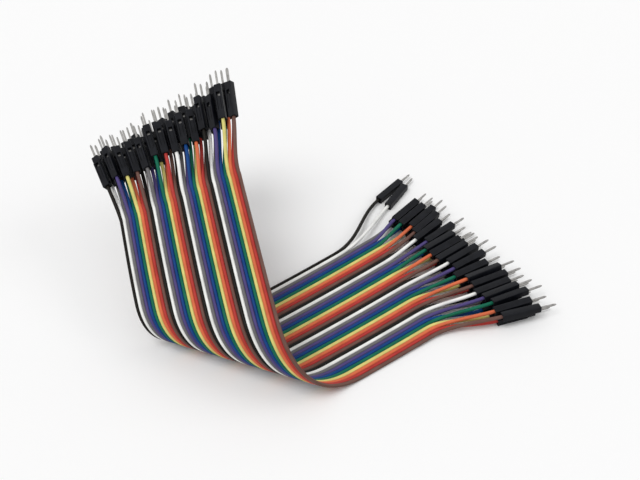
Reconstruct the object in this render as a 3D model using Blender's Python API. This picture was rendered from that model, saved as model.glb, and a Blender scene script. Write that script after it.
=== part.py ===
"""Ribbon of forty breadboard jumper leads, folded once and resting on a table.

Each lead is one object: an insulated wire with a moulded single-way housing
and a square pin at both ends.  The wires lie side by side in one flat ribbon
in resistor colour order, and split into free tails just before the housings.
Metres, +Z up, with the origin under the middle of the whole part.
"""

import math
import random

import bpy
import numpy as np

MM = 0.001
DEG = math.pi / 180

# Leads, from the far edge of the ribbon to the near one
COLOUR_ORDER = ("black", "white", "grey", "purple", "blue", "green", "yellow", "orange", "red", "brown")
COLOUR_REPEATS = 4
WIRE_PITCH = 1.27 * MM
WIRE_DIAMETER = 1.1 * MM
WIRE_SIDES = 8

# Single-way housing and its pin, each size measured from the housing's rear face
HOUSING_WIDTH = 2.54 * MM
HOUSING_LENGTH = 14.0 * MM
NOSE_LENGTH = 3.0 * MM
NOSE_STEP = 0.35 * MM
NOSE_RAMP = 0.25 * MM
PIN_WIDTH = 0.64 * MM
PIN_LENGTH = 6.0 * MM
PIN_TAPER = 0.9 * MM
PIN_TIP_WIDTH = 0.3 * MM

# Ribbon as it lies: the fold is a bend about one straight direction on the table
FOLD_HEADING = -17.6 * DEG
WIRE_TO_FOLD = 53.9 * DEG
FOLD_START = -28.8 * MM
FOLD_BACK = -58.9 * MM
BEND_ANGLE = 146.4 * DEG
BEND_RADIUS_FAR = 9.3 * MM
BEND_RADIUS_NEAR = 17.4 * MM
ARM_BOW = 11.6 * DEG
ARM_BOW_REACH = 32.0 * MM
LYING_CURVE_RADIUS = 500.0 * MM

# Raised end, whose housings hang in three layers; reach is measured down the wire
# from the fold's start line to the housing's rear, and side across the wire.  Each
# layer is set further out than the one before, and a little to the side
RAISED_REACH_FAR = 66.0 * MM
RAISED_REACH_NEAR = 76.6 * MM
RAISED_SIDE_FAR = -2.6 * MM
RAISED_SIDE_NEAR = 3.9 * MM
RAISED_FAN_FAR = -5.0 * DEG
RAISED_FAN_NEAR = 11.0 * DEG
RAISED_DROOP_FAR = 4.0 * DEG
RAISED_DROOP_NEAR = 11.0 * DEG
RAISED_LAYERS = 3
RAISED_LAYER_REACH = 2.6 * MM
RAISED_LAYER_SIDE_FAR = -0.1 * MM
RAISED_LAYER_SIDE_NEAR = -0.4 * MM
RAISED_ROLL = 26.0 * DEG
RAISED_TAIL_FAR = 14.0 * MM
RAISED_TAIL_NEAR = 20.0 * MM

# Lying end, whose lower layer of housings rests on the table.  The fan swings to and
# fro, so that the housings gather in groups
LYING_REACH_FAR = 92.0 * MM
LYING_REACH_NEAR = 87.0 * MM
LYING_SIDE_FAR = -6.2 * MM
LYING_SIDE_NEAR = 9.0 * MM
LYING_BUNCH = 0.4 * MM
LYING_FAN_FAR = -20.0 * DEG
LYING_FAN_NEAR = 17.0 * DEG
LYING_SWING = 2.5 * DEG
LYING_SWINGS = 3.2
LYING_LAYERS = 2
LYING_ROLL = 5.0 * DEG
TOP_ROLL = 17.0 * DEG
LYING_TAIL_FAR = 16.0 * MM
LYING_TAIL_NEAR = 22.0 * MM

# The first two leads have torn away from the ribbon at the lying end
TORN_COUNT = 2
TORN_REACH = 3.5 * MM
TORN_SIDE = -10.8 * MM
TORN_SIDE_STEP = 3.4 * MM
TORN_FAN = 4.0 * DEG
TORN_FAN_STEP = -10.0 * DEG
TORN_TAIL = 30.0 * MM

# Small differences from lead to lead
SHUFFLE_SEED = 94
STAGGER = 1.9 * MM
HOUSING_CLEARANCE = 0.3 * MM

# Rings of vertices along each stretch of wire, crowded in a tail towards the ribbon
TAIL_STEPS = 5
TAIL_CROWDING = 1.3
LYING_STEPS = 3
BEND_STEPS = 7
RAISED_STEPS = 3
ARC_SAMPLES = 160
SHARP_ANGLE = 50.0 * DEG

COLOURS = {
    "black": (0.012, 0.012, 0.012),
    "white": (0.78, 0.78, 0.76),
    "grey": (0.165, 0.16, 0.165),
    "purple": (0.085, 0.065, 0.19),
    "blue": (0.016, 0.05, 0.25),
    "green": (0.01, 0.16, 0.105),
    "yellow": (0.75, 0.62, 0.09),
    "orange": (0.8, 0.13, 0.045),
    "red": (0.56, 0.05, 0.045),
    "brown": (0.125, 0.065, 0.05),
}
HOUSING_COLOUR = (0.01, 0.01, 0.012)
PIN_COLOUR = (0.72, 0.7, 0.66)

LEAD_COUNT = len(COLOUR_ORDER) * COLOUR_REPEATS
RIBBON_WIDTH = LEAD_COUNT * WIRE_PITCH
FOLD_ALONG = np.array([math.cos(FOLD_HEADING), math.sin(FOLD_HEADING), 0.0])
FOLD_ACROSS = np.array([-math.sin(FOLD_HEADING), math.cos(FOLD_HEADING), 0.0])
UP = np.array([0.0, 0.0, 1.0])
WIRE, HOUSING, PIN = "wire", "housing", "pin"
FINISH_ORDER = (WIRE, HOUSING, PIN)


def clear_scene():
    """Remove whatever objects the file holds."""
    for thing in list(bpy.data.objects):
        bpy.data.objects.remove(thing, do_unlink=True)


def mix(far, near, share):
    """Value between the ribbon's far and near edges."""
    return far + (near - far) * share


def share_of(lead):
    """Place of a lead across the ribbon, 0 at the far edge and 1 at the near edge."""
    return (lead + 0.5) / LEAD_COUNT


def bend_radius(along):
    """Bend radius at a distance along the fold, which opens towards the near edge."""
    fold_length = RIBBON_WIDTH / math.sin(WIRE_TO_FOLD)
    return mix(BEND_RADIUS_FAR, BEND_RADIUS_NEAR, (along - FOLD_START) / fold_length)


def lean(arc, radius):
    """Slope angle of the ribbon at an arc length across the fold, from the fold's start line."""
    bend_end = BEND_ANGLE * radius
    past = np.maximum(arc - bend_end, 0.0)
    bow = ARM_BOW * (1.0 - (1.0 - past / ARM_BOW_REACH) ** 2)
    turning = np.clip(arc, 0.0, bend_end) / radius
    lying = np.minimum(arc, 0.0) / LYING_CURVE_RADIUS
    return lying + turning + bow


def section_point(arc, radius):
    """Run and rise of the section at an arc length, summed along its slope angle."""
    steps = np.linspace(0.0, arc, ARC_SAMPLES)
    angles = lean(steps, radius)
    middle = 0.5 * (angles[1:] + angles[:-1])
    stride = arc / (ARC_SAMPLES - 1)
    return stride * np.cos(middle).sum(), stride * np.sin(middle).sum()


def ribbon_frame(across, along):
    """Centre, sideways, forward and normal directions of the ribbon at one place.

    across is the distance from the ribbon's far edge, and along is the
    distance down the wires, growing from the lying end to the raised end.
    """
    sine, cosine = math.sin(WIRE_TO_FOLD), math.cos(WIRE_TO_FOLD)
    arc = along * sine + across * cosine
    fold_place = FOLD_START + across / sine - arc * cosine / sine
    radius = bend_radius(fold_place)
    run, rise = section_point(arc, radius)
    angle = float(lean(np.array(arc), radius))
    climb = -math.cos(angle) * FOLD_ACROSS + math.sin(angle) * UP
    normal = math.sin(angle) * FOLD_ACROSS + math.cos(angle) * UP
    centre = fold_place * FOLD_ALONG + (FOLD_BACK - run) * FOLD_ACROSS
    centre = centre + (rise + WIRE_DIAMETER / 2) * UP
    sideways = sine * FOLD_ALONG + cosine * climb
    forward = -cosine * FOLD_ALONG + sine * climb
    return centre, sideways, forward, normal


def place_along(across, arc):
    """Distance down a wire at which it crosses a given arc length of the section."""
    return (arc - across * math.cos(WIRE_TO_FOLD)) / math.sin(WIRE_TO_FOLD)


def bend_end_arc(across):
    """Arc length at which a wire leaves the bend, where the radius changes with its place."""
    cot = math.cos(WIRE_TO_FOLD) / math.sin(WIRE_TO_FOLD)
    start_radius = bend_radius(FOLD_START + across / math.sin(WIRE_TO_FOLD))
    growth = bend_radius(1.0) - bend_radius(0.0)
    return BEND_ANGLE * start_radius / (1.0 + BEND_ANGLE * growth * cot)


def turned(first, second, angle):
    """Two perpendicular directions after a turn in their own plane."""
    new_first = math.cos(angle) * first + math.sin(angle) * second
    new_second = math.cos(angle) * second - math.sin(angle) * first
    return new_first, new_second


def lying_layer(lead):
    """Layer of a housing at the lying end, 0 where it rests on the table."""
    return 0 if lead < TORN_COUNT else lead % LYING_LAYERS


def shuffles():
    """Small seeded differences: stagger and roll of every housing."""
    source = random.Random(SHUFFLE_SEED)
    draws = []
    for lead in range(LEAD_COUNT):
        stagger = STAGGER * source.uniform(-1.0, 1.0)
        raised_roll = RAISED_ROLL * source.uniform(-1.0, 1.0)
        lying_roll = (TOP_ROLL if lying_layer(lead) else LYING_ROLL) * source.uniform(-1.0, 1.0)
        draws.append((stagger, raised_roll, lying_roll))
    return draws


def layer_height(width, roll_limit):
    """Height of one layer of housings which may each be rolled up to a limit."""
    return width * (math.cos(roll_limit) + math.sin(roll_limit)) + HOUSING_CLEARANCE


def raised_seat(lead, stagger, roll):
    """Rear centre, outward direction and section axes of a housing at the raised end."""
    share = share_of(lead)
    reach = mix(RAISED_REACH_FAR, RAISED_REACH_NEAR, share) + stagger
    centre, sideways, forward, normal = ribbon_frame(share * RIBBON_WIDTH, reach)
    drooped, upright = turned(forward, normal, mix(RAISED_DROOP_FAR, RAISED_DROOP_NEAR, share))
    layer = lead % RAISED_LAYERS - (RAISED_LAYERS - 1) / 2
    layer_side = layer * mix(RAISED_LAYER_SIDE_FAR, RAISED_LAYER_SIDE_NEAR, share)
    centre = centre + (mix(RAISED_SIDE_FAR, RAISED_SIDE_NEAR, share) + layer_side) * sideways
    centre = centre + layer * layer_height(HOUSING_WIDTH, RAISED_ROLL) * upright
    outward, flank = turned(drooped, sideways, mix(RAISED_FAN_FAR, RAISED_FAN_NEAR, share))
    centre = centre + layer * RAISED_LAYER_REACH * outward
    side, top = turned(flank, upright, roll)
    return centre, outward, flank, upright, side, top


def lying_seat(lead, stagger, roll):
    """Rear centre, outward direction and section axes of a housing at the lying end."""
    share = share_of(lead)
    reach = mix(LYING_REACH_FAR, LYING_REACH_NEAR, share) - stagger
    if lead < TORN_COUNT:
        reach = reach + TORN_REACH
    centre, sideways, forward, _ = ribbon_frame(share * RIBBON_WIDTH, -reach)
    spread = mix(LYING_SIDE_FAR, LYING_SIDE_NEAR, share) + LYING_BUNCH * math.cos(2 * math.pi * share)
    fan = mix(LYING_FAN_FAR, LYING_FAN_NEAR, share)
    fan = fan + LYING_SWING * math.sin(2 * math.pi * LYING_SWINGS * share)
    if lead < TORN_COUNT:
        spread = spread + TORN_SIDE + lead * TORN_SIDE_STEP
        fan = fan + TORN_FAN + lead * TORN_FAN_STEP
    centre = centre + spread * sideways
    half_height = HOUSING_WIDTH / 2 * (math.cos(roll) + abs(math.sin(roll)))
    centre[2] = half_height + lying_layer(lead) * layer_height(HOUSING_WIDTH, LYING_ROLL)
    level = -forward * np.array([1.0, 1.0, 0.0])
    level = level / np.linalg.norm(level)
    outward, flank = turned(level, np.cross(level, UP), fan)
    side, top = turned(flank, UP, roll)
    return centre, outward, flank, UP, side, top


def tail_frames(start, seat, slope, from_lying_end):
    """Frames along a free tail: a cubic from the ribbon's edge to a housing's rear, with end slopes of one length."""
    centre, sideways, forward, normal = start
    end, outward, flank, upright = seat[:4]
    leave = -forward if from_lying_end else forward
    frames = []
    for step in range(1, TAIL_STEPS + 1):
        t = (step / TAIL_STEPS) ** TAIL_CROWDING
        place = (2 * t**3 - 3 * t**2 + 1) * centre + (3 * t**2 - 2 * t**3) * end
        place = place + (t**3 - 2 * t**2 + t) * slope * leave + (t**3 - t**2) * slope * outward
        heading = (6 * t**2 - 6 * t) * (centre - end)
        heading = heading + (3 * t**2 - 4 * t + 1) * slope * leave + (3 * t**2 - 2 * t) * slope * outward
        heading = heading / np.linalg.norm(heading)
        travel = -heading if from_lying_end else heading
        top = (1 - t) * normal + t * upright
        top = top - travel * np.dot(top, travel)
        top = top / np.linalg.norm(top)
        frames.append((place, np.cross(top, travel), travel, top))
    return frames


def wire_frames(lead, raised, lying):
    """Frames of the whole wire, from the lying end's housing to the raised end's."""
    share = share_of(lead)
    across = share * RIBBON_WIDTH
    lying_tail_length = TORN_TAIL if lead < TORN_COUNT else mix(LYING_TAIL_FAR, LYING_TAIL_NEAR, share)
    lying_split = -mix(LYING_REACH_FAR, LYING_REACH_NEAR, share) + lying_tail_length
    raised_tail_length = mix(RAISED_TAIL_FAR, RAISED_TAIL_NEAR, share)
    raised_split = mix(RAISED_REACH_FAR, RAISED_REACH_NEAR, share) - raised_tail_length
    bend_start = place_along(across, 0.0)
    bend_end = place_along(across, bend_end_arc(across))
    places = np.concatenate([
        np.linspace(lying_split, bend_start, LYING_STEPS + 1)[:-1],
        np.linspace(bend_start, bend_end, BEND_STEPS + 1)[:-1],
        np.linspace(bend_end, raised_split, RAISED_STEPS),
    ])
    ribbon = [ribbon_frame(across, place) for place in places]
    lying_slope = np.linalg.norm(lying[0] - ribbon[0][0])
    lying_tail = tail_frames(ribbon[0], lying, lying_slope, True)
    raised_tail = tail_frames(ribbon[-1], raised, raised_tail_length, False)
    return lying_tail[::-1] + ribbon + raised_tail


def round_ring(frame):
    """Ring of vertices round the wire, with flats towards the neighbouring wires."""
    centre, sideways, _, normal = frame
    angles = (np.arange(WIRE_SIDES) + 0.5) * 2 * math.pi / WIRE_SIDES
    spokes = np.outer(np.cos(angles), sideways) + np.outer(np.sin(angles), normal)
    return centre + WIRE_DIAMETER / 2 * spokes


def square_ring(centre, side, top, width, stepped=0.0):
    """Four corners of a square section, whose latch face on the underside may be stepped in."""
    half = width / 2
    low = stepped - half
    corners = ((half, half), (-half, half), (-half, low), (half, low))
    return np.array([centre + x * side + y * top for x, y in corners])


def end_rings(seat):
    """Rings of one housing and its pin, from the rear face to the pin's tip, with band finishes."""
    rear, outward, _, _, side, top = seat
    nose_start = HOUSING_LENGTH - NOSE_LENGTH
    pin_end = HOUSING_LENGTH + PIN_LENGTH
    sections = (
        (0.0, HOUSING_WIDTH, 0.0, HOUSING),
        (nose_start, HOUSING_WIDTH, 0.0, HOUSING),
        (nose_start + NOSE_RAMP, HOUSING_WIDTH, NOSE_STEP, HOUSING),
        (HOUSING_LENGTH, HOUSING_WIDTH, NOSE_STEP, HOUSING),
        (HOUSING_LENGTH, PIN_WIDTH, 0.0, PIN),
        (pin_end - PIN_TAPER, PIN_WIDTH, 0.0, PIN),
        (pin_end, PIN_TIP_WIDTH, 0.0, PIN),
    )
    rings = [
        square_ring(rear + distance * outward, side, top, width, stepped)
        for distance, width, stepped, _ in sections
    ]
    return rings, [section[3] for section in sections[:-1]]


def join_rings(first, second, count_first, count_second):
    """Triangles of the band between two rings, given the index of each ring's first vertex."""
    faces = []
    if count_first == count_second:
        for k in range(count_first):
            n = (k + 1) % count_first
            faces.append((first + k, first + n, second + n))
            faces.append((first + k, second + n, second + k))
    elif count_first > count_second:
        for k in range(count_first):
            n = (k + 1) % count_first
            corner = k // 2
            faces.append((first + k, first + n, second + corner))
            if k % 2:
                faces.append((first + n, second + (corner + 1) % count_second, second + corner))
    else:
        for k in range(count_second):
            n = (k + 1) % count_second
            corner = k // 2
            faces.append((first + corner, second + n, second + k))
            if k % 2:
                faces.append((first + corner, first + (corner + 1) % count_first, second + n))
    return faces


def skin(rings, bands):
    """Closed mesh data from rings in order, with one finish for each band between them."""
    starts = np.concatenate([[0], np.cumsum([len(ring) for ring in rings])])
    faces, finishes = [], []
    for k, finish in enumerate(bands):
        band = join_rings(int(starts[k]), int(starts[k + 1]), len(rings[k]), len(rings[k + 1]))
        faces += band
        finishes += [finish] * len(band)
    last = int(starts[-2])
    faces += [(0, 2, 1), (0, 3, 2), (last, last + 1, last + 2), (last, last + 2, last + 3)]
    finishes += [PIN] * 4
    return np.concatenate(rings), faces, finishes


def lead_solid(lead, shuffle):
    """Vertices, triangles and finishes of one whole lead."""
    stagger, raised_roll, lying_roll = shuffle
    raised = raised_seat(lead, stagger, raised_roll)
    lying = lying_seat(lead, stagger, lying_roll)
    wire = [round_ring(frame) for frame in wire_frames(lead, raised, lying)]
    raised_rings, raised_bands = end_rings(raised)
    lying_rings, lying_bands = end_rings(lying)
    rings = lying_rings[::-1] + wire + raised_rings
    bands = lying_bands[::-1] + [HOUSING] + [WIRE] * (len(wire) - 1) + [HOUSING] + raised_bands
    return skin(rings, bands)


def finish_material(name, colour, roughness, metallic):
    """Principled material of one colour."""
    material = bpy.data.materials.get(name) or bpy.data.materials.new(name)
    material.use_nodes = True
    shader = material.node_tree.nodes["Principled BSDF"]
    shader.inputs["Base Color"].default_value = (*colour, 1.0)
    shader.inputs["Roughness"].default_value = roughness
    shader.inputs["Metallic"].default_value = metallic
    material.diffuse_color = (*colour, 1.0)
    return material


def add_lead(lead, points, faces, finishes, parent):
    """Object of one lead, with its wire, housing and pin finishes."""
    colour = COLOUR_ORDER[lead % len(COLOUR_ORDER)]
    name = f"jumper_lead_{lead + 1:02d}_{colour}"
    mesh = bpy.data.meshes.new(name)
    mesh.from_pydata(points.tolist(), [], faces)
    mesh.materials.append(finish_material(f"{colour}_insulation", COLOURS[colour], 0.45, 0.0))
    mesh.materials.append(finish_material("housing_plastic", HOUSING_COLOUR, 0.4, 0.0))
    mesh.materials.append(finish_material("plated_pin", PIN_COLOUR, 0.28, 1.0))
    mesh.polygons.foreach_set("material_index", [FINISH_ORDER.index(finish) for finish in finishes])
    mesh.update()
    mesh.shade_smooth()
    mesh.set_sharp_from_angle(angle=SHARP_ANGLE)
    lead_object = bpy.data.objects.new(name, mesh)
    lead_object.parent = parent
    bpy.context.collection.objects.link(lead_object)


def build():
    """All leads, moved so that the origin is under the middle of the whole part."""
    clear_scene()
    solids = [lead_solid(lead, shuffle) for lead, shuffle in enumerate(shuffles())]
    points = np.concatenate([solid[0] for solid in solids])
    middle = 0.5 * (points.min(axis=0) + points.max(axis=0))
    shift = np.array([middle[0], middle[1], points[:, 2].min()])
    ribbon = bpy.data.objects.new("ribbon", None)
    bpy.context.collection.objects.link(ribbon)
    for lead, (vertices, faces, finishes) in enumerate(solids):
        add_lead(lead, vertices - shift, faces, finishes, ribbon)


build()
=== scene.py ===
"""Folded ribbon of breadboard jumper leads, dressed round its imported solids.

Each lead gets a round insulated wire, a moulded housing at both ends with its
latch window and tongue, and a plated terminal whose pin stands out of the
housing.  Lengths are in metres, in the solids' own frame.
"""

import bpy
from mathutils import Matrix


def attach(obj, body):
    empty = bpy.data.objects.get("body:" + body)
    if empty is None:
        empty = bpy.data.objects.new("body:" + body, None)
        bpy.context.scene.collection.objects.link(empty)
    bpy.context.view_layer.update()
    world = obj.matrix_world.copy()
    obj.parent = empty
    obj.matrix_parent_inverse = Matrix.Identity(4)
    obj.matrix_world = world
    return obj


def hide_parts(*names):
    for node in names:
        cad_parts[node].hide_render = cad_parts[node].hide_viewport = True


bl_info = {
    "name": "Jumper lead ribbon",
    "version": (1, 0, 0),
    "blender": (4, 5, 0),
    "location": "3D View > Sidebar > Jumper leads",
    "description": "Builds a folded ribbon of breadboard jumper leads with its stage",
    "category": "Add Mesh",
}

import math
import random

import bpy
import numpy as np
from bpy.props import FloatProperty, FloatVectorProperty, PointerProperty
from mathutils import Vector

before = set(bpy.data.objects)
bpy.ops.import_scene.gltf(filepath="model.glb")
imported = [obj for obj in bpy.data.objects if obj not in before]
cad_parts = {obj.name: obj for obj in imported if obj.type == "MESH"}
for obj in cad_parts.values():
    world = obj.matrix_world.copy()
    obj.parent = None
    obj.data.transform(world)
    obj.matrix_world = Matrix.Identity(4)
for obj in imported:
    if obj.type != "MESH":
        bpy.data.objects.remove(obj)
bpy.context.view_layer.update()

MM = 0.001
DEG = math.pi / 180

# Leads and their ribbon, as in the solids
COLOUR_ORDER = (
    "black", "white", "grey", "purple", "blue", "green", "yellow", "orange", "red", "brown",
)
COLOUR_REPEATS = 4
WIRE_PITCH = 1.27 * MM
SOLID_WIRE_DIAMETER = 1.1 * MM
HOUSING_WIDTH = 2.54 * MM
HOUSING_LENGTH = 14.0 * MM
PIN_LENGTH = 6.0 * MM

# Ribbon as it lies: the fold is a bend about one straight direction on the table
FOLD_HEADING = -17.6 * DEG
WIRE_TO_FOLD = 53.9 * DEG
FOLD_START = -28.8 * MM
FOLD_BACK = -58.9 * MM
BEND_ANGLE = 146.4 * DEG
BEND_RADIUS_FAR = 9.3 * MM
BEND_RADIUS_NEAR = 17.4 * MM
ARM_BOW = 11.6 * DEG
ARM_BOW_REACH = 32.0 * MM
LYING_CURVE_RADIUS = 500.0 * MM

# Raised end
RAISED_REACH_FAR = 66.0 * MM
RAISED_REACH_NEAR = 76.6 * MM
RAISED_SIDE_FAR = -2.6 * MM
RAISED_SIDE_NEAR = 3.9 * MM
RAISED_FAN_FAR = -5.0 * DEG
RAISED_FAN_NEAR = 11.0 * DEG
RAISED_DROOP_FAR = 4.0 * DEG
RAISED_DROOP_NEAR = 11.0 * DEG
RAISED_LAYERS = 3
RAISED_LAYER_REACH = 2.6 * MM
RAISED_LAYER_SIDE_FAR = -0.1 * MM
RAISED_LAYER_SIDE_NEAR = -0.4 * MM
RAISED_ROLL = 26.0 * DEG
RAISED_TAIL_FAR = 14.0 * MM
RAISED_TAIL_NEAR = 20.0 * MM

# Lying end
LYING_REACH_FAR = 92.0 * MM
LYING_REACH_NEAR = 87.0 * MM
LYING_SIDE_FAR = -6.2 * MM
LYING_SIDE_NEAR = 9.0 * MM
LYING_BUNCH = 0.4 * MM
LYING_FAN_FAR = -20.0 * DEG
LYING_FAN_NEAR = 17.0 * DEG
LYING_SWING = 2.5 * DEG
LYING_SWINGS = 3.2
LYING_LAYERS = 2
LYING_ROLL = 5.0 * DEG
TOP_ROLL = 17.0 * DEG
LYING_TAIL_FAR = 16.0 * MM
LYING_TAIL_NEAR = 22.0 * MM

# First two leads, torn away from the ribbon at the lying end
TORN_COUNT = 2
TORN_REACH = 3.5 * MM
TORN_SIDE = -10.8 * MM
TORN_SIDE_STEP = 3.4 * MM
TORN_FAN = 4.0 * DEG
TORN_FAN_STEP = -10.0 * DEG
TORN_TAIL = 30.0 * MM

# Small differences from lead to lead
SHUFFLE_SEED = 94
STAGGER = 1.9 * MM
HOUSING_CLEARANCE = 0.3 * MM

# Points at which the section's slope is summed along its arc
ARC_SAMPLES = 160

# Where the solids' origin lies in the fold's own frame
ORIGIN = np.array([-0.842, -19.794, 0.0]) * MM

# Grid of a wire: rings along each stretch, and points round each ring
TAIL_RINGS = 14
LYING_RINGS = 14
BEND_RINGS = 34
RAISED_RINGS = 26
RING_POINTS = 14

# Wire inside its housing, overlap of neighbours in the ribbon, and the length over
# which that overlap fades before a split
WIRE_STUB = 1.05 * MM
FUSED_EXTRA = 0.012 * MM
FUSED_FADE = 3.0 * MM

# Housing details, measured from its rear face
CORNER_RADIUS = 0.22 * MM
CORNER_TURNS = (22.5, 45.0, 67.5)
REAR_CHAMFER = 0.12 * MM
CAVITY_HALF = 0.8 * MM
CAVITY_DEPTH = 1.2 * MM
NOSE_LENGTH = 3.0 * MM
NOSE_STEP = 0.35 * MM
NOSE_RAMP = 0.25 * MM
FRONT_CHAMFER = 0.18 * MM
MOUTH_HALF = 0.6 * MM
MOUTH_DEPTH = 0.35 * MM
WINDOW_START = 8.9 * MM
WINDOW_END = 10.6 * MM
WINDOW_HALF = 0.64 * MM
WINDOW_DEPTH = 0.75 * MM
TONGUE_START = 3.4 * MM
TONGUE_HALF = 0.52 * MM
SLOT_DEPTH = 0.4 * MM
TONGUE_SINK = 0.05 * MM
WALL_RUN = 0.04 * MM

# Share by which a section point may miss an edge and still count as on it
EDGE_SLACK = 0.001

# Openings of a housing: width at the face, width at the floor, and where the flare
# ends, each as a share of the opening's own width or depth
CAVITY_FLARE, CAVITY_TAPER, CAVITY_LIP = 1.08, 0.96, 0.15
MOUTH_FLARE, MOUTH_TAPER, MOUTH_LIP = 1.12, 0.96, 0.3

# Rubbed wear and painted edge highlight of a housing: how far its rounded corners are paled,
# and the scale above which the stations at its two faces are paled all round
CORNER_RUB_AND_HIGHLIGHT = 0.35
RIM_RUB_AND_HIGHLIGHT_SCALE = 0.9

# Terminal: a crimped box under the window, drawn out into the pin.  Each stretch has
# the place that it is measured from, its half size, and its stations: millimetres
# from that place, and half width and half height as shares of the half size
PIN_HALF = 0.32 * MM
BOX_HALF = 0.6 * MM
TERMINAL_POINTS = 16
TERMINAL_SQUARENESS = 7.0
TERMINAL_STRETCHES = (
    (WINDOW_START, BOX_HALF, (
        (-0.5, 0.9, 0.8), (0.1, 1.0, 0.93), (0.6, 1.0, 0.97), (1.1, 1.0, 1.0),
    )),
    (WINDOW_END, BOX_HALF, ((-0.5, 1.0, 0.97), (-0.1, 0.96, 0.9))),
    (WINDOW_END, PIN_HALF, ((0.5, 1.2, 1.2), (1.0, 1.0, 1.0))),
    (HOUSING_LENGTH, PIN_HALF, ((0.0, 1.0, 1.0),)),
    (HOUSING_LENGTH + PIN_LENGTH, PIN_HALF, (
        (-1.1, 1.0, 1.0), (-0.6, 0.86, 0.86), (-0.2, 0.58, 0.58), (-0.04, 0.36, 0.36),
        (0.0, 0.2, 0.2),
    )),
)

# Edges that turn by more than this are shaded sharp
SHARP_ANGLE = 32 * DEG

# Insulation: streaks drawn out along the wire, broad patches, fine skin, and painted shade in the
# valleys where neighbouring wires are fused
STREAK_SIZE = 0.35 * MM
STREAK_STRETCH = 24.0
WIRE_PATCH_SIZE = 6.0 * MM
SKIN_SIZE = 0.12 * MM
VALLEY_SHADE_POWER = 4
WIRE_ROUGHNESS = (0.36, 0.5)
WIRE_SPECULAR = 0.13

# Housing plastic: spark texture, patches and long scuffs
SPARK_SIZE = 0.11 * MM
PLASTIC_PATCH_SIZE = 2.2 * MM
SCUFF_SIZE = 0.25 * MM
SCUFF_STRETCH = 14.0
PLASTIC_ROUGHNESS = (0.26, 0.42)
PLASTIC_SPECULAR = 0.13

# Plating: lines drawn out along the pin, and tarnish
DRAWN_SIZE = 0.05 * MM
DRAWN_STRETCH = 30.0
TARNISH_SIZE = 1.4 * MM
PLATING_ROUGHNESS = (0.22, 0.38)

# Usual range of a noise, bump depths, and texture shifts from one piece to the next
NOISE_RANGE = (0.25, 0.75)
BUMP_DEPTH = 0.02 * MM
PIN_BUMP_DEPTH = 0.01 * MM
WIRE_TEXTURE_STEP = 0.37
END_TEXTURE_STEP = 50 * MM

# Photograph's viewpoint
CAMERA_DISTANCE = 404.7 * MM
CAMERA_ELEVATION = 41.4 * DEG
CAMERA_LENS = 62.63
CAMERA_CLIP = (10 * MM, 50.0)
SENSOR_WIDTH = 36.0

# Stage: the floor's half width and its depth under the table's level, and the lamps,
# which are wide suns, so only the directions of their places count
FLOOR_HALF = 6.0
FLOOR_DROP = 0.04 * MM
FLOOR_ROUGHNESS = 0.9
FLOOR_SPECULAR = 0.1
KEY_PLACE = (-0.45, -0.3, 1.05)
FILL_PLACE = (0.9, 0.1, 0.6)
LAMP_WIDTH = 34 * DEG

LEAD_COUNT = len(COLOUR_ORDER) * COLOUR_REPEATS
RIBBON_WIDTH = LEAD_COUNT * WIRE_PITCH
FOLD_ALONG = np.array([math.cos(FOLD_HEADING), math.sin(FOLD_HEADING), 0.0])
FOLD_ACROSS = np.array([-math.sin(FOLD_HEADING), math.cos(FOLD_HEADING), 0.0])
UP = np.array([0.0, 0.0, 1.0])


# ---------------------------------------------------------------------------
# Route of the ribbon, with the solids' own formulas
# ---------------------------------------------------------------------------

def mix(far, near, share):
    """Value between the ribbon's far and near edges."""
    return far + (near - far) * share


def share_of(lead):
    """Place of a lead across the ribbon, 0 at the far edge and 1 at the near edge."""
    return (lead + 0.5) / LEAD_COUNT


def unit(vectors):
    """Vectors divided by their own lengths."""
    return vectors / np.linalg.norm(vectors, axis=-1, keepdims=True)


def bend_radius(along):
    """Bend radius, growing evenly with the distance along the fold."""
    fold_length = RIBBON_WIDTH / math.sin(WIRE_TO_FOLD)
    return mix(BEND_RADIUS_FAR, BEND_RADIUS_NEAR, (along - FOLD_START) / fold_length)


def lean(arc, radius):
    """Slope angle of the ribbon at an arc length across the fold.

    It is the arc over the radius in the bend, a parabola of bow beyond the
    bend, and a slight rise before it.
    """
    bend_end = BEND_ANGLE * radius
    past = np.maximum(arc - bend_end, 0.0)
    bow = ARM_BOW * (1.0 - (1.0 - past / ARM_BOW_REACH) ** 2)
    return np.minimum(arc, 0.0) / LYING_CURVE_RADIUS + np.clip(arc, 0.0, bend_end) / radius + bow


def section_point(arc, radius):
    """Run and rise of the section: cosine and sine of its slope angle, summed along the arc."""
    steps = arc[..., None] * np.linspace(0.0, 1.0, ARC_SAMPLES)
    angles = lean(steps, radius[..., None])
    middle = 0.5 * (angles[..., 1:] + angles[..., :-1])
    stride = arc / (ARC_SAMPLES - 1)
    return stride * np.cos(middle).sum(-1), stride * np.sin(middle).sum(-1)


def ribbon_frame(across, along):
    """Centres, sideways, forward and normal directions of the ribbon.

    The arc is the wire's distance times the sine of its angle to the fold, plus
    the distance across times the cosine.  The section is drawn along the fold.
    """
    across, along = np.broadcast_arrays(np.asarray(across, float), np.asarray(along, float))
    sine, cosine = math.sin(WIRE_TO_FOLD), math.cos(WIRE_TO_FOLD)
    arc = along * sine + across * cosine
    fold_place = FOLD_START + across / sine - arc * cosine / sine
    radius = bend_radius(fold_place)
    run, rise = section_point(arc, radius)
    angle = lean(arc, radius)[..., None]
    climb = -np.cos(angle) * FOLD_ACROSS + np.sin(angle) * UP
    normal = np.sin(angle) * FOLD_ACROSS + np.cos(angle) * UP
    centre = fold_place[..., None] * FOLD_ALONG + (FOLD_BACK - run)[..., None] * FOLD_ACROSS
    centre = centre + (rise + SOLID_WIRE_DIAMETER / 2)[..., None] * UP
    sideways = sine * FOLD_ALONG + cosine * climb
    forward = -cosine * FOLD_ALONG + sine * climb
    return centre, sideways, forward, normal


def place_along(across, arc):
    """Distance down a wire at which it crosses a given arc length of the section."""
    return (arc - across * math.cos(WIRE_TO_FOLD)) / math.sin(WIRE_TO_FOLD)


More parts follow.
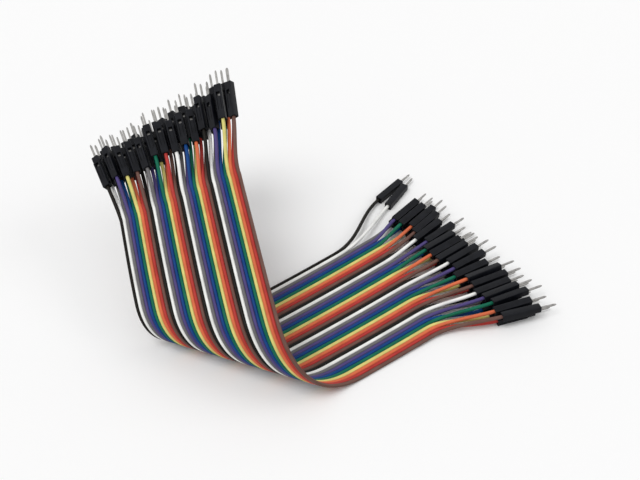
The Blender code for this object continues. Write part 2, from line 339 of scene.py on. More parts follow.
def bend_end_arc(across):
    """Arc length at which a wire leaves the bend, where the radius changes with its place."""
    cot = math.cos(WIRE_TO_FOLD) / math.sin(WIRE_TO_FOLD)
    start_radius = bend_radius(FOLD_START + across / math.sin(WIRE_TO_FOLD))
    growth = bend_radius(1.0) - bend_radius(0.0)
    return BEND_ANGLE * start_radius / (1.0 + BEND_ANGLE * growth * cot)


def turned(first, second, angle):
    """Two perpendicular directions after a turn in their own plane."""
    new_first = math.cos(angle) * first + math.sin(angle) * second
    return new_first, math.cos(angle) * second - math.sin(angle) * first


def lying_layer(lead):
    """Layer of a housing at the lying end, 0 where it rests on the table."""
    return 0 if lead < TORN_COUNT else lead % LYING_LAYERS


def shuffles():
    """Small seeded differences: stagger and roll of every housing."""
    source = random.Random(SHUFFLE_SEED)
    draws = []
    for lead in range(LEAD_COUNT):
        stagger = STAGGER * source.uniform(-1.0, 1.0)
        raised_roll = RAISED_ROLL * source.uniform(-1.0, 1.0)
        lying_roll = (TOP_ROLL if lying_layer(lead) else LYING_ROLL) * source.uniform(-1.0, 1.0)
        draws.append((stagger, raised_roll, lying_roll))
    return draws


def layer_height(width, roll_limit):
    """Height of one layer of housings which may each be rolled up to a limit."""
    return width * (math.cos(roll_limit) + math.sin(roll_limit)) + HOUSING_CLEARANCE


def raised_seat(lead, stagger, roll):
    """Rear centre, outward direction and section axes of a housing at the raised end."""
    share = share_of(lead)
    reach = mix(RAISED_REACH_FAR, RAISED_REACH_NEAR, share) + stagger
    centre, sideways, forward, normal = ribbon_frame(share * RIBBON_WIDTH, reach)
    drooped, upright = turned(forward, normal, mix(RAISED_DROOP_FAR, RAISED_DROOP_NEAR, share))
    layer = lead % RAISED_LAYERS - (RAISED_LAYERS - 1) / 2
    layer_side = layer * mix(RAISED_LAYER_SIDE_FAR, RAISED_LAYER_SIDE_NEAR, share)
    centre = centre + (mix(RAISED_SIDE_FAR, RAISED_SIDE_NEAR, share) + layer_side) * sideways
    centre = centre + layer * layer_height(HOUSING_WIDTH, RAISED_ROLL) * upright
    outward, flank = turned(drooped, sideways, mix(RAISED_FAN_FAR, RAISED_FAN_NEAR, share))
    centre = centre + layer * RAISED_LAYER_REACH * outward
    side, top = turned(flank, upright, roll)
    return centre, outward, upright, side, top


def lying_seat(lead, stagger, roll):
    """Rear centre, outward direction and section axes of a housing at the lying end."""
    share = share_of(lead)
    reach = mix(LYING_REACH_FAR, LYING_REACH_NEAR, share) - stagger
    if lead < TORN_COUNT:
        reach = reach + TORN_REACH
    centre, sideways, forward, _ = ribbon_frame(share * RIBBON_WIDTH, -reach)
    spread = mix(LYING_SIDE_FAR, LYING_SIDE_NEAR, share)
    spread = spread + LYING_BUNCH * math.cos(2 * math.pi * share)
    fan = mix(LYING_FAN_FAR, LYING_FAN_NEAR, share)
    fan = fan + LYING_SWING * math.sin(2 * math.pi * LYING_SWINGS * share)
    if lead < TORN_COUNT:
        spread = spread + TORN_SIDE + lead * TORN_SIDE_STEP
        fan = fan + TORN_FAN + lead * TORN_FAN_STEP
    centre = centre + spread * sideways
    half_height = HOUSING_WIDTH / 2 * (math.cos(roll) + abs(math.sin(roll)))
    centre[2] = half_height + lying_layer(lead) * layer_height(HOUSING_WIDTH, LYING_ROLL)
    level = unit(-forward * np.array([1.0, 1.0, 0.0]))
    outward, flank = turned(level, np.cross(level, UP), fan)
    side, top = turned(flank, UP, roll)
    return centre, outward, UP, side, top


def tail_line(split, seat, slope, from_lying_end):
    """Centres, travel and top directions of a free tail.

    The line is the cubic that leaves the ribbon along its wires and meets the
    housing's rear square on, with end slopes of one given length.
    """
    centre, _, forward, normal = split
    end, outward, upright = seat[:3]
    leave = -forward if from_lying_end else forward
    t = (np.arange(1, TAIL_RINGS + 1) / TAIL_RINGS)[:, None]
    place = (2 * t**3 - 3 * t**2 + 1) * centre + (3 * t**2 - 2 * t**3) * end
    place = place + slope * ((t**3 - 2 * t**2 + t) * leave + (t**3 - t**2) * outward)
    heading = (6 * t**2 - 6 * t) * (centre - end)
    heading = heading + slope * ((3 * t**2 - 4 * t + 1) * leave + (3 * t**2 - 2 * t) * outward)
    heading = unit(heading)
    travel = -heading if from_lying_end else heading
    top = (1 - t) * normal + t * upright
    top = unit(top - travel * (top * travel).sum(-1, keepdims=True))
    stub = place[-1:] + WIRE_STUB * outward
    return np.vstack([place, stub]), np.vstack([travel, travel[-1:]]), np.vstack([top, top[-1:]])


def wire_line(lead, raised, lying, radius):
    """Centres, sideways and normal directions, half widths and bond of one wire.

    They run from the lying end to the raised end.  In the ribbon the half width
    is half the gap between the strip's two edges, so that neighbours meet, and
    the bond is 1.  Before the splits they fade to the wire's radius and to 0.
    """
    share = share_of(lead)
    across = share * RIBBON_WIDTH
    lying_tail = TORN_TAIL if lead < TORN_COUNT else mix(LYING_TAIL_FAR, LYING_TAIL_NEAR, share)
    lying_split = -mix(LYING_REACH_FAR, LYING_REACH_NEAR, share) + lying_tail
    raised_tail = mix(RAISED_TAIL_FAR, RAISED_TAIL_NEAR, share)
    raised_split = mix(RAISED_REACH_FAR, RAISED_REACH_NEAR, share) - raised_tail
    bend_start = place_along(across, 0.0)
    bend_end = place_along(across, bend_end_arc(across))
    places = np.concatenate([
        np.linspace(lying_split, bend_start, LYING_RINGS + 1)[:-1],
        np.linspace(bend_start, bend_end, BEND_RINGS + 1)[:-1],
        np.linspace(bend_end, raised_split, RAISED_RINGS),
    ])
    ribbon = ribbon_frame(across, places)
    centre = ribbon[0]
    travel = unit(np.gradient(centre, axis=0))
    near_edge = ribbon_frame(across + WIRE_PITCH / 2, places)[0]
    far_edge = ribbon_frame(across - WIRE_PITCH / 2, places)[0]
    gap = near_edge - far_edge
    gap = gap - travel * (gap * travel).sum(-1, keepdims=True)
    sideways = unit(gap)
    fused = np.linalg.norm(gap, axis=-1) / 2 + FUSED_EXTRA
    to_split = np.minimum(places - places[0], places[-1] - places)
    fade = np.clip(to_split / FUSED_FADE, 0.0, 1.0)
    fade = fade**2 * (3 - 2 * fade)
    half = radius + (fused - radius) * fade
    first_slope = np.linalg.norm(lying[0] - centre[0])
    first = tail_line([part[0] for part in ribbon], lying, first_slope, True)
    last = tail_line([part[-1] for part in ribbon], raised, raised_tail, False)
    first = [part[::-1] for part in first]
    centres = np.vstack([first[0], centre, last[0]])
    sides = np.vstack([np.cross(first[2], first[1]), sideways, np.cross(last[2], last[1])])
    normals = np.vstack([first[2], np.cross(travel, sideways), last[2]])
    ends = np.full(TAIL_RINGS + 1, radius)
    halves = np.concatenate([ends, half, ends])
    joined = np.concatenate([0 * ends, fade, 0 * ends])
    lift = (radius - SOLID_WIRE_DIAMETER / 2) * UP
    return centres - ORIGIN + lift, sides, normals, halves, joined


def end_seats():
    """Every lead's raised and lying seats, in order."""
    seats = []
    for lead, (stagger, raised_roll, lying_roll) in enumerate(shuffles()):
        raised = raised_seat(lead, stagger, raised_roll)
        seats.append((raised, lying_seat(lead, stagger, lying_roll)))
    return seats


# ---------------------------------------------------------------------------
# Meshes from grids
# ---------------------------------------------------------------------------

def ring_angles(count):
    """Angles of points spaced evenly round a ring, half a step off its first axis."""
    return (np.arange(count) + 0.5) * 2 * math.pi / count


def loft(name, rings, material, attributes, sharp=True):
    """Closed mesh carried through rings of points, with a fan on the first and last ring.

    rings is an array of ring, point and coordinate.  Points run anticlockwise
    round the direction in which the rings follow each other, so faces point out.
    """
    count, around = rings.shape[:2]
    points = np.vstack([rings.reshape(-1, 3), rings[0].mean(0), rings[-1].mean(0)])
    here = np.arange(count - 1)[:, None] * around
    step = np.arange(around)
    after = (step + 1) % around
    quads = np.stack([here + step, here + after, here + around + after, here + around + step], -1)
    quads = quads.reshape(-1, 4)
    last = (count - 1) * around
    start_cap = np.stack([np.full(around, count * around), after, step], -1)
    end_cap = np.stack([np.full(around, count * around + 1), last + step, last + after], -1)
    corners = np.concatenate([quads.ravel(), start_cap.ravel(), end_cap.ravel()])
    sizes = np.concatenate([np.full(len(quads), 4), np.full(2 * around, 3)])
    mesh = bpy.data.meshes.new(name)
    mesh.vertices.add(len(points))
    mesh.vertices.foreach_set("co", points.astype(np.float32).ravel())
    mesh.loops.add(len(corners))
    mesh.loops.foreach_set("vertex_index", corners.astype(np.int32))
    mesh.polygons.add(len(sizes))
    mesh.polygons.foreach_set("loop_start", (np.cumsum(sizes) - sizes).astype(np.int32))
    mesh.update(calc_edges=True)
    mesh.validate()
    for key, values in attributes.items():
        add_attribute(mesh, key, values.reshape(count, around, -1))
    mesh.shade_smooth()
    if sharp:
        mesh.set_sharp_from_angle(angle=SHARP_ANGLE)
    mesh.materials.append(material)
    piece = bpy.data.objects.new(name, mesh)
    bpy.context.scene.collection.objects.link(piece)
    return piece


def add_attribute(mesh, key, values):
    """Attribute of a loft's points, whose two fan centres take the mean of their rings."""
    width = values.shape[-1]
    whole = np.vstack([values.reshape(-1, width), values[0].mean(0), values[-1].mean(0)])
    kind, field = ("FLOAT_VECTOR", "vector") if width == 3 else ("FLOAT", "value")
    layer = mesh.attributes.new(key, kind, "POINT")
    layer.data.foreach_set(field, whole.astype(np.float32).ravel())


def colour_of(lead):
    """Name of a lead's colour."""
    return COLOUR_ORDER[lead % len(COLOUR_ORDER)]


def lead_name(lead):
    """Name of a lead's solid."""
    return f"jumper_lead_{lead + 1:02d}_{colour_of(lead)}"


def wire_name(lead):
    """Name of a lead's wire."""
    return f"wire_{lead + 1:02d}_{colour_of(lead)}"


def end_name(kind, end, lead):
    """Name of a piece at one end of a lead."""
    return f"{kind}_{end}_{lead + 1:02d}"


def settle(piece, lead):
    """Ties a piece to the part and hides the solid it stands for."""
    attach(piece, "root")
    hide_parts(lead_name(lead))


def placed(seat, local):
    """Points of a housing's own frame carried to its seat.

    That frame runs across, towards the latch and outward from the rear face.
    """
    rear, outward, _, side, top = seat
    latch = -top
    if np.dot(np.cross(side, latch), outward) < 0:
        side = -side
    across, towards, out = local[..., :1], local[..., 1:2], local[..., 2:]
    return rear - ORIGIN + across * side + towards * latch + out * outward


def add_end_pieces(kind, grid, material, key, values):
    """One loft of the same grid at both ends of every lead.

    The attribute local is the grid, shifted so that no two pieces have the same
    texture, and key names a second attribute with its values.
    """
    for lead, seats in enumerate(end_seats()):
        for end, seat in zip(("raised", "lying"), seats):
            shift = np.array([0.0, 0.0, lead + 0.5 * (end == "lying")]) * END_TEXTURE_STEP
            attributes = {"local": grid + shift, key: values}
            piece = loft(end_name(kind, end, lead), placed(seat, grid), material, attributes)
            settle(piece, lead)


def housing_section():
    """Outline of the housing's section: a square with quarter-round corners.

    The top side has extra points at the edges of the window and the tongue.
    Returns the points, whether each lies on the top side, and whether each
    lies on a rounded corner.
    """
    half = HOUSING_WIDTH / 2
    flat = half - CORNER_RADIUS
    inner = [
        WINDOW_HALF + WALL_RUN, WINDOW_HALF, TONGUE_HALF + WALL_RUN, TONGUE_HALF, TONGUE_HALF / 2,
    ]
    top_side = [flat] + inner + [0.0] + [-x for x in reversed(inner)] + [-flat]
    turns = np.radians(CORNER_TURNS)
    corner = np.stack([np.cos(turns), np.sin(turns)], -1) * CORNER_RADIUS
    quarter = np.array([[0.0, -1.0], [1.0, 0.0]])
    sides = [
        np.array([[half, -flat], [half, 0.0], [half, flat]]),
        np.array([flat, flat]) + corner,
        np.array([[x, half] for x in top_side]),
        np.array([-flat, flat]) + corner @ quarter.T,
        np.array([[-half, flat], [-half, 0.0], [-half, -flat]]),
        np.array([-flat, -flat]) - corner,
        np.array([[-flat, -half], [0.0, -half], [flat, -half]]),
        np.array([flat, -flat]) - corner @ quarter.T,
    ]
    points = np.vstack(sides)
    counts = [len(side) for side in sides]
    on_top = np.zeros(len(points), bool)
    on_top[counts[0] + counts[1]:sum(counts[:3])] = True
    rounded = np.concatenate([np.full(n, k % 2, float) for k, n in enumerate(counts)])
    return points, on_top, rounded


def housing_grid():
    """Housing as a grid of stations and section points, in its own frame.

    Stations run from the floor of the rear cavity out to the rear face, along
    the body and into the front mouth.  Each one is the section times a scale,
    less the nose's step on the upper half and the pocket's depth on the top.
    The second array says how far each point is paled, as rubbed wear and painted edge highlight.
    """
    section, on_top, rounded = housing_section()
    half = HOUSING_WIDTH / 2
    nose = HOUSING_LENGTH - NOSE_LENGTH
    cavity = CAVITY_HALF / half
    rear = 1 - REAR_CHAMFER / half
    front = 1 - FRONT_CHAMFER / half
    mouth = MOUTH_HALF / half
    window, tongue, none = 2, 1, 0
    # Distance from the rear face, scale, 1 on the lowered nose, and pocket
    stations = (
        (CAVITY_DEPTH, cavity * CAVITY_TAPER, 0, none),
        (CAVITY_DEPTH * CAVITY_LIP, cavity, 0, none),
        (0.0, cavity * CAVITY_FLARE, 0, none),
        (0.0, rear, 0, none),
        (REAR_CHAMFER, 1.0, 0, none),
        (TONGUE_START, 1.0, 0, none),
        (TONGUE_START + WALL_RUN, 1.0, 0, tongue),
        (0.5 * (TONGUE_START + WINDOW_START), 1.0, 0, tongue),
        (WINDOW_START - WALL_RUN, 1.0, 0, tongue),
        (WINDOW_START, 1.0, 0, window),
        (WINDOW_END, 1.0, 0, window),
        (WINDOW_END + WALL_RUN, 1.0, 0, none),
        (nose, 1.0, 0, none),
        (nose + NOSE_RAMP, 1.0, 1, none),
        (HOUSING_LENGTH - FRONT_CHAMFER, 1.0, 1, none),
        (HOUSING_LENGTH, front, 1, none),
        (HOUSING_LENGTH, mouth * MOUTH_FLARE, 1, none),
        (HOUSING_LENGTH - MOUTH_DEPTH * MOUTH_LIP, mouth, 1, none),
        (HOUSING_LENGTH - MOUTH_DEPTH, mouth * MOUTH_TAPER, 1, none),
    )
    offset = np.abs(section[:, 0])
    in_window = on_top & (offset <= WINDOW_HALF * (1 + EDGE_SLACK))
    in_slot = in_window & (offset >= (TONGUE_HALF + WALL_RUN) * (1 - EDGE_SLACK))
    window_floor = np.where(in_window, WINDOW_DEPTH, 0.0)
    tongue_floor = np.where(in_slot, SLOT_DEPTH, np.where(in_window, TONGUE_SINK, 0.0))
    floors = np.stack([np.zeros(len(section)), tongue_floor, window_floor])
    distance, scale, lowered, pocket = (np.array(column) for column in zip(*stations))
    x = section[:, 0] * scale[:, None]
    drop = NOSE_STEP * lowered[:, None] * (section[:, 1] > 0)
    y = (section[:, 1] - drop) * scale[:, None] - floors[pocket]
    z = np.broadcast_to(distance[:, None], x.shape)
    body = (distance > REAR_CHAMFER / 2) & (scale == 1.0)
    # Face rims and rounded corners paled, partly rubbed wear and partly painted edge highlight
    rim = 1.0 * (scale[:, None] > RIM_RUB_AND_HIGHLIGHT_SCALE)
    return np.stack([x, y, z], -1), np.where(body[:, None], CORNER_RUB_AND_HIGHLIGHT * rounded, rim)


def terminal_grid():
    """Terminal as a grid in the housing's frame: rounded squares of changing size.

    Each ring's point is the half size times the sign and a small power of the
    cosine and sine, which gives a square with rounded corners.  The second
    array is 1 on the box and falls to 0 where the pin leaves the housing.
    """
    stations = [
        (start + place * MM, half * wide, half * high)
        for start, half, stretch in TERMINAL_STRETCHES
        for place, wide, high in stretch
    ]
    distance, wide, high = (np.array(column)[:, None] for column in zip(*stations))
    angles = ring_angles(TERMINAL_POINTS)
    power = 2 / TERMINAL_SQUARENESS
    x = wide * np.sign(np.cos(angles)) * np.abs(np.cos(angles)) ** power
    y = high * np.sign(np.sin(angles)) * np.abs(np.sin(angles)) ** power
    # Painted shade: 1 on the box under the window, falling to 0 where the pin leaves the housing
    inside = (HOUSING_LENGTH - distance) / (HOUSING_LENGTH - WINDOW_END)
    inside = np.broadcast_to(np.clip(inside, 0.0, 1.0), x.shape)
    return np.stack([x, y, np.broadcast_to(distance, x.shape)], -1), inside


# ---------------------------------------------------------------------------
# Materials
# ---------------------------------------------------------------------------

def fresh_material(name, colour):
    """Node material of one colour, with its node tree and its Principled shader."""
    material = bpy.data.materials.new(name)
    material.use_nodes = True
    material.diffuse_color = (*colour, 1.0)
    shader = material.node_tree.nodes["Principled BSDF"]
    shader.inputs["Base Color"].default_value = (*colour, 1.0)
    return material, material.node_tree, shader


def feed(tree, socket, value):
    """Gives a socket a link or a plain value."""
    if isinstance(value, bpy.types.NodeSocket):
        tree.links.new(value, socket)
    else:
        socket.default_value = value


def node(tree, kind, **sockets):
    """Node of one kind with its named inputs fed; underscores stand for spaces."""
    made = tree.nodes.new(kind)
    for key, value in sockets.items():
        feed(tree, made.inputs[key.replace("_", " ")], value)
    return made


def attribute(tree, name, output):
    """Output of a node that reads a piece's own attribute."""
    made = tree.nodes.new("ShaderNodeAttribute")
    made.attribute_name = name
    return made.outputs[output]


def noise(tree, where, size, detail=2.0, stretch=1.0):
    """Noise whose features are about size across, and stretch times as long along Z."""
    scaled = node(tree, "ShaderNodeMapping", Vector=where, Scale=(1.0, 1.0, 1 / stretch))
    made = node(tree, "ShaderNodeTexNoise", Vector=scaled.outputs[0], Scale=1 / size, Detail=detail)
    return made.outputs[0]


def ranged(tree, value, start, end, low=0.0, high=1.0):
    """Value carried from the range between start and end to that between low and high."""
    made = node(tree, "ShaderNodeMapRange", Value=value, From_Min=start, From_Max=end,
                To_Min=low, To_Max=high)
    return made.outputs[0]


def combined(tree, operation, first, second):
    """Result of a Math node on two links."""
    made = tree.nodes.new("ShaderNodeMath")
    made.operation = operation
    tree.links.new(first, made.inputs[0])
    tree.links.new(second, made.inputs[1])
    return made.outputs[0]


def blended(tree, share, first, second):
    """Colour between two colours, each a link or a plain colour."""
    made = tree.nodes.new("ShaderNodeMix")
    made.data_type = "RGBA"
    # A Mix node's colour sockets come after its number and vector ones
    factor, colour_a, colour_b = made.inputs[0], made.inputs[6], made.inputs[7]
    feed(tree, factor, share)
    for socket, value in ((colour_a, first), (colour_b, second)):
        feed(tree, socket, (*value, 1.0) if isinstance(value, tuple) else value)
    return made.outputs[2]


def toned(colour, gain, lift=0.0):
    """Plain colour times a gain, plus a lift."""
    return tuple(min(1.0, channel * gain + lift) for channel in colour)


def insulation_material(name, colour):
    """Soft extruded insulation: satin, with faint streaks and painted shade darkening the valleys
    between fused wires.
    """
    material, tree, shader = fresh_material(f"{name}_insulation", colour)
    grain = attribute(tree, "grain", "Vector")
    seam = attribute(tree, "seam", "Fac")
    streaks = noise(tree, grain, STREAK_SIZE, detail=3.0, stretch=STREAK_STRETCH)
    patches = noise(tree, grain, WIRE_PATCH_SIZE)
    skin = noise(tree, grain, SKIN_SIZE)
    paler = toned(colour, gain=1.08, lift=0.005)
    deeper = toned(colour, gain=0.86)
    # Darker tone used as painted shade
    painted_shade = toned(colour, gain=0.55)
    base = blended(tree, ranged(tree, patches, start=0.3, end=0.7), deeper, paler)
    base = blended(tree, ranged(tree, streaks, start=0.5, end=0.8, high=0.35), base, paler)
    # Painted shade: darker towards the sides of a wire where it is fused to its neighbours
    base = blended(tree, ranged(tree, seam, start=0.55, end=1.0, high=0.6), base, painted_shade)
    roughness = ranged(tree, patches, *NOISE_RANGE, *WIRE_ROUGHNESS)
    lines = node(tree, "ShaderNodeBump", Height=streaks, Strength=0.25, Distance=BUMP_DEPTH)
    bump = node(tree, "ShaderNodeBump", Height=skin, Strength=0.12, Distance=BUMP_DEPTH,
                Normal=lines.outputs[0])
    finish(tree, shader, base, roughness, bump)
    shader.inputs["Specular IOR Level"].default_value = WIRE_SPECULAR
    return material


def housing_material(colour):
    """Moulded plastic: fine spark texture, edges paled as rubbed wear and painted highlight, and
    faint scuffs.
    """
    material, tree, shader = fresh_material("housing_plastic", colour)
    local = attribute(tree, "local", "Vector")
    rub = attribute(tree, "rub", "Fac")
    sparks = noise(tree, local, SPARK_SIZE, detail=3.0)
    patches = noise(tree, local, PLASTIC_PATCH_SIZE, detail=3.0)
    scuffs = noise(tree, local, SCUFF_SIZE, detail=4.0, stretch=SCUFF_STRETCH)
    # Pale tone for rubbed wear and scuffs, which also serves as painted edge highlight
    wear_and_highlight = toned(colour, gain=2.4, lift=0.014)
    greyed = toned(colour, gain=1.6, lift=0.001)
    base = blended(tree, ranged(tree, patches, start=0.35, end=0.7), colour, greyed)
    uneven = ranged(tree, patches, *NOISE_RANGE, low=0.25, high=0.9)
    # Rounded edges paled: partly rubbed wear, partly painted edge highlight
    base = blended(tree, combined(tree, "MULTIPLY", rub, uneven), base, wear_and_highlight)
    base = blended(tree, ranged(tree, scuffs, start=0.62, end=0.8, high=0.6), base, wear_and_highlight)
    roughness = ranged(tree, patches, *NOISE_RANGE, *PLASTIC_ROUGHNESS)
    bump = node(tree, "ShaderNodeBump", Height=sparks, Strength=0.35, Distance=BUMP_DEPTH)
    finish(tree, shader, base, roughness, bump)
    shader.inputs["Specular IOR Level"].default_value = PLASTIC_SPECULAR
    return material


def plated_material(colour):
    """Plated terminal: pin with drawn lines and a little tarnish, and painted shade darkening the
    box inside the housing.
    """
    material, tree, shader = fresh_material("plated_pin", colour)
    local = attribute(tree, "local", "Vector")
    drawn = noise(tree, local, DRAWN_SIZE, stretch=DRAWN_STRETCH)
    tarnish = noise(tree, local, TARNISH_SIZE, detail=3.0)
    inside = attribute(tree, "inside", "Fac")
    dark = toned(colour, gain=0.55)
    # Darker tone used as painted shade inside the housing
    painted_shade = toned(colour, gain=0.3)
    base = blended(tree, ranged(tree, tarnish, start=0.35, end=0.75), colour, dark)
    # Painted shade on the box, which is seen through the window
    base = blended(tree, ranged(tree, inside, start=0.1, end=0.9), base, painted_shade)
    roughness = ranged(tree, tarnish, *NOISE_RANGE, *PLATING_ROUGHNESS)
    bump = node(tree, "ShaderNodeBump", Height=drawn, Strength=0.2, Distance=PIN_BUMP_DEPTH)
    finish(tree, shader, base, roughness, bump)
    shader.inputs["Metallic"].default_value = 1.0
    return material


def finish(tree, shader, base, roughness, bump):
    """Links a base colour, a roughness and a bump to a shader."""
    tree.links.new(base, shader.inputs["Base Color"])
    tree.links.new(roughness, shader.inputs["Roughness"])
    tree.links.new(bump.outputs[0], shader.inputs["Normal"])


# ---------------------------------------------------------------------------
# Stage
# ---------------------------------------------------------------------------

def aimed(place):
    """Turn that points a lamp or a camera from a place towards the origin."""
    return (-place).to_track_quat("-Z", "Y").to_euler()


def lay_floor(scene, settings):
    """Pale floor, a little paler to the camera than to the light it bounces."""
    plain, seen = tuple(settings.floor), tuple(settings.seen_floor)
    material, tree, shader = fresh_material("stage_floor", plain)
    rays = tree.nodes.new("ShaderNodeLightPath")
    base = blended(tree, rays.outputs["Is Camera Ray"], plain, seen)
    tree.links.new(base, shader.inputs["Base Color"])
    shader.inputs["Roughness"].default_value = FLOOR_ROUGHNESS
    shader.inputs["Specular IOR Level"].default_value = FLOOR_SPECULAR
    mesh = bpy.data.meshes.new("stage_floor")
    corners = [(x * FLOOR_HALF, y * FLOOR_HALF, -FLOOR_DROP)
               for x, y in ((-1, -1), (1, -1), (1, 1), (-1, 1))]
    mesh.from_pydata(corners, [], [(0, 1, 2, 3)])
    mesh.materials.append(material)
    floor = bpy.data.objects.new("stage_floor", mesh)
    scene.collection.objects.link(floor)


def hang_lamp(scene, name, place, share):
    """Wide sun lamp that gives the floor a share of full white."""
    place = Vector(place)
    data = bpy.data.lights.new(name, "SUN")
    data.angle = LAMP_WIDTH
    data.energy = share * math.pi / place.normalized().z
    lamp = bpy.data.objects.new(name, data)
    lamp.location = place
    lamp.rotation_euler = aimed(place)
    scene.collection.objects.link(lamp)


def light_world(scene, sky):
    """Even white all round, full white where it is seen, mirrored or looked through."""
    world = bpy.data.worlds.new("studio")
    scene.world = world
    world.use_nodes = True
    tree = world.node_tree
    light = tree.nodes["Background"]
    light.inputs["Color"].default_value = (1.0, 1.0, 1.0, 1.0)
    rays = tree.nodes.new("ShaderNodeLightPath").outputs
    seen = combined(tree, "MAXIMUM", rays["Is Camera Ray"], rays["Is Glossy Ray"])
    seen = combined(tree, "MAXIMUM", seen, rays["Is Transmission Ray"])
    strength = ranged(tree, seen, start=0.0, end=1.0, low=sky)
    tree.links.new(strength, light.inputs["Strength"])


# ---------------------------------------------------------------------------
# Settings
# ---------------------------------------------------------------------------

def colour_setting(name, value):
    """Colour that a user may change."""
    return FloatVectorProperty(name=name, description=f"Colour of the {name.lower()}",
                               subtype="COLOR", size=3, min=0.0, max=1.0, default=value)


def share_setting(name, value, description):
    """Share, from 0 to 1, that a user may change."""
    return FloatProperty(name=name, description=description, default=value, min=0.0, max=1.0,
                         subtype="FACTOR")


class JumperWireSettings(bpy.types.PropertyGroup):
    """Size and colours of the wires."""

    diameter: FloatProperty(
        name="Wire diameter", description="Outside diameter of a wire's insulation",
        default=1.27 * MM, min=0.0, unit="LENGTH", precision=5,
    )
    black: colour_setting("Black wires", (0.005, 0.0036, 0.0018))
    white: colour_setting("White wires", (0.92, 0.92, 0.895))
    grey: colour_setting("Grey wires", (0.157, 0.152, 0.157))
    purple: colour_setting("Purple wires", (0.085, 0.063, 0.21))
    blue: colour_setting("Blue wires", (0.003, 0.053, 0.222))
    green: colour_setting("Green wires", (0.004, 0.138, 0.078))
    yellow: colour_setting("Yellow wires", (0.72, 0.65, 0.21))
    orange: colour_setting("Orange wires", (0.72, 0.165, 0.07))
    red: colour_setting("Red wires", (0.48, 0.045, 0.038))
    brown: colour_setting("Brown wires", (0.155, 0.078, 0.062))


class JumperEndSettings(bpy.types.PropertyGroup):
    """Colours of the housings and terminals."""

    plastic: colour_setting("Housing plastic", (0.0036, 0.0041, 0.0062))
    plating: colour_setting("Terminal plating", (0.41, 0.4, 0.385))


class JumperStageSettings(bpy.types.PropertyGroup):
    """Floor, lamps and world."""

    floor: colour_setting("Floor", (0.8, 0.8, 0.8))
    seen_floor: colour_setting("Floor as the camera sees it", (0.97, 0.97, 0.97))
    key_light: share_setting(
        "Key lamp", 0.32, "Share of full white that the key lamp gives the floor")
    fill_light: share_setting(
        "Fill lamp", 0.08, "Share of full white that the fill lamp gives the floor")
    sky: FloatProperty(
        name="Sky", description="Brightness of the even light all round", default=0.6, min=0.0)


# ---------------------------------------------------------------------------
# Operators
# ---------------------------------------------------------------------------

class JUMPER_OT_camera(bpy.types.Operator):
    """Places the camera at the photograph's viewpoint"""

    bl_idname = "jumper.camera"
    bl_label = "Camera"

    def execute(self, context):
        data = bpy.data.cameras.new("photo_camera")
        data.sensor_width = SENSOR_WIDTH
        data.lens = CAMERA_LENS
        data.clip_start, data.clip_end = CAMERA_CLIP
        camera = bpy.data.objects.new("photo_camera", data)
        back = Vector((0.0, -math.cos(CAMERA_ELEVATION), math.sin(CAMERA_ELEVATION)))
        camera.location = back * CAMERA_DISTANCE - Vector(ORIGIN)
        camera.rotation_euler = aimed(back)
        context.scene.collection.objects.link(camera)
        context.scene.camera = camera
        return {"FINISHED"}


class JUMPER_OT_wires(bpy.types.Operator):
    """Makes every insulated wire as a tube carried along its route"""

    bl_idname = "jumper.wires"
    bl_label = "Wires"

    def execute(self, context):
        settings = context.scene.jumper_wires
        radius = settings.diameter / 2
        materials = {
            name: insulation_material(name, tuple(getattr(settings, name)))
            for name in COLOUR_ORDER
        }
        angles = ring_angles(RING_POINTS)
        for lead, (raised, lying) in enumerate(end_seats()):
            centre, side, normal, half, joined = wire_line(lead, raised, lying, radius)
            wide = np.cos(angles)[None, :, None] * half[:, None, None]
            high = np.broadcast_to(np.sin(angles)[None, :, None] * radius, wide.shape)
            rings = centre[:, None] + wide * side[:, None] + high * normal[:, None]
            steps = np.linalg.norm(np.diff(centre, axis=0), axis=1)
            length = np.concatenate([[0.0], np.cumsum(steps)]) + WIRE_TEXTURE_STEP * lead
            place = np.broadcast_to(length[:, None, None], wide.shape)
            attributes = {
                "grain": np.concatenate([wide, high, place], -1),
                # Painted shade at the sides of each wire where it meets its neighbours in the
                # ribbon
                "seam": np.abs(np.cos(angles))[None] ** VALLEY_SHADE_POWER * joined[:, None],
            }
            colour = colour_of(lead)
            piece = loft(wire_name(lead), rings, materials[colour], attributes, sharp=False)
            settle(piece, lead)
        return {"FINISHED"}


class JUMPER_OT_housings(bpy.types.Operator):
    """Makes the moulded housing at both ends of every lead"""

    bl_idname = "jumper.housings"
    bl_label = "Housings"

    def execute(self, context):
        material = housing_material(tuple(context.scene.jumper_ends.plastic))
        grid, rub = housing_grid()
        add_end_pieces("housing", grid, material, "rub", rub)
        return {"FINISHED"}


class JUMPER_OT_terminals(bpy.types.Operator):
    """Makes the plated terminal and pin at both ends of every lead"""

    bl_idname = "jumper.terminals"
    bl_label = "Terminals"

    def execute(self, context):
        material = plated_material(tuple(context.scene.jumper_ends.plating))
        grid, inside = terminal_grid()
        add_end_pieces("terminal", grid, material, "inside", inside)
        return {"FINISHED"}


class JUMPER_OT_declare_cords(bpy.types.Operator):
    """Goes through every lead's seats and leaves the scene as it is"""

    bl_idname = "jumper.declare_cords"
    bl_label = "Declare cords"

    def execute(self, context):
        for lead, (raised, lying) in enumerate(end_seats()):
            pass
        return {"FINISHED"}


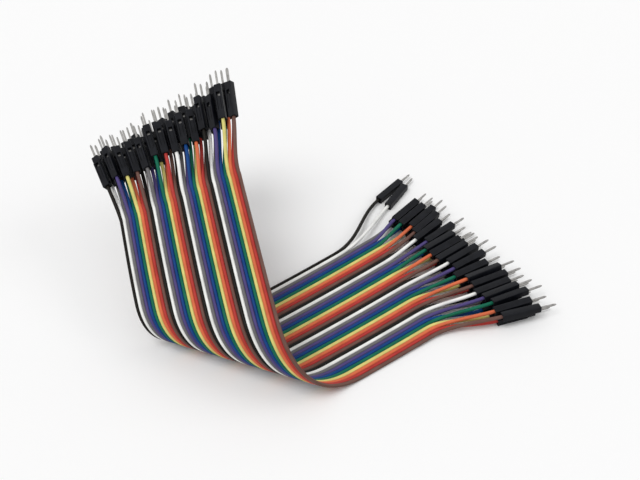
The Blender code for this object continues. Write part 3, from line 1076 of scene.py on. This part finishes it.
class JUMPER_OT_stage(bpy.types.Operator):
    """Lays a plain pale floor and lights it softly"""

    bl_idname = "jumper.stage"
    bl_label = "Stage"

    def execute(self, context):
        scene = context.scene
        settings = scene.jumper_stage
        lay_floor(scene, settings)
        hang_lamp(scene, "key_lamp", KEY_PLACE, settings.key_light)
        hang_lamp(scene, "fill_lamp", FILL_PLACE, settings.fill_light)
        light_world(scene, settings.sky)
        scene.view_settings.view_transform = "Standard"
        return {"FINISHED"}


STEPS = (
    JUMPER_OT_camera, JUMPER_OT_wires, JUMPER_OT_housings, JUMPER_OT_terminals,
    JUMPER_OT_declare_cords, JUMPER_OT_stage,
)
GROUPS = {
    "jumper_wires": JumperWireSettings,
    "jumper_ends": JumperEndSettings,
    "jumper_stage": JumperStageSettings,
}


class JUMPER_PT_panel(bpy.types.Panel):
    """Lists the steps in their order, and the settings"""

    bl_idname = "JUMPER_PT_panel"
    bl_label = "Jumper leads"
    bl_space_type = "VIEW_3D"
    bl_region_type = "UI"
    bl_category = "Jumper leads"

    def draw(self, context):
        for step in STEPS:
            self.layout.operator(step.bl_idname)
        for name in GROUPS:
            settings = getattr(context.scene, name)
            box = self.layout.box()
            for key in settings.bl_rna.properties.keys():
                if key not in {"rna_type", "name"}:
                    box.prop(settings, key)


def register():
    """Registers the settings, steps and panel."""
    for name, group in GROUPS.items():
        bpy.utils.register_class(group)
        setattr(bpy.types.Scene, name, PointerProperty(type=group))
    for step in (*STEPS, JUMPER_PT_panel):
        bpy.utils.register_class(step)


def unregister():
    """Undoes register, in the opposite order."""
    for step in (JUMPER_PT_panel, *reversed(STEPS)):
        bpy.utils.unregister_class(step)
    for name, group in reversed(GROUPS.items()):
        delattr(bpy.types.Scene, name)
        bpy.utils.unregister_class(group)


def main():
    """Runs every step in order."""
    register()
    bpy.ops.jumper.camera()
    bpy.ops.jumper.wires()
    bpy.ops.jumper.housings()
    bpy.ops.jumper.terminals()
    bpy.ops.jumper.declare_cords()
    bpy.ops.jumper.stage()
    bpy.context.view_layer.update()


if __name__ == "__main__":
    main()
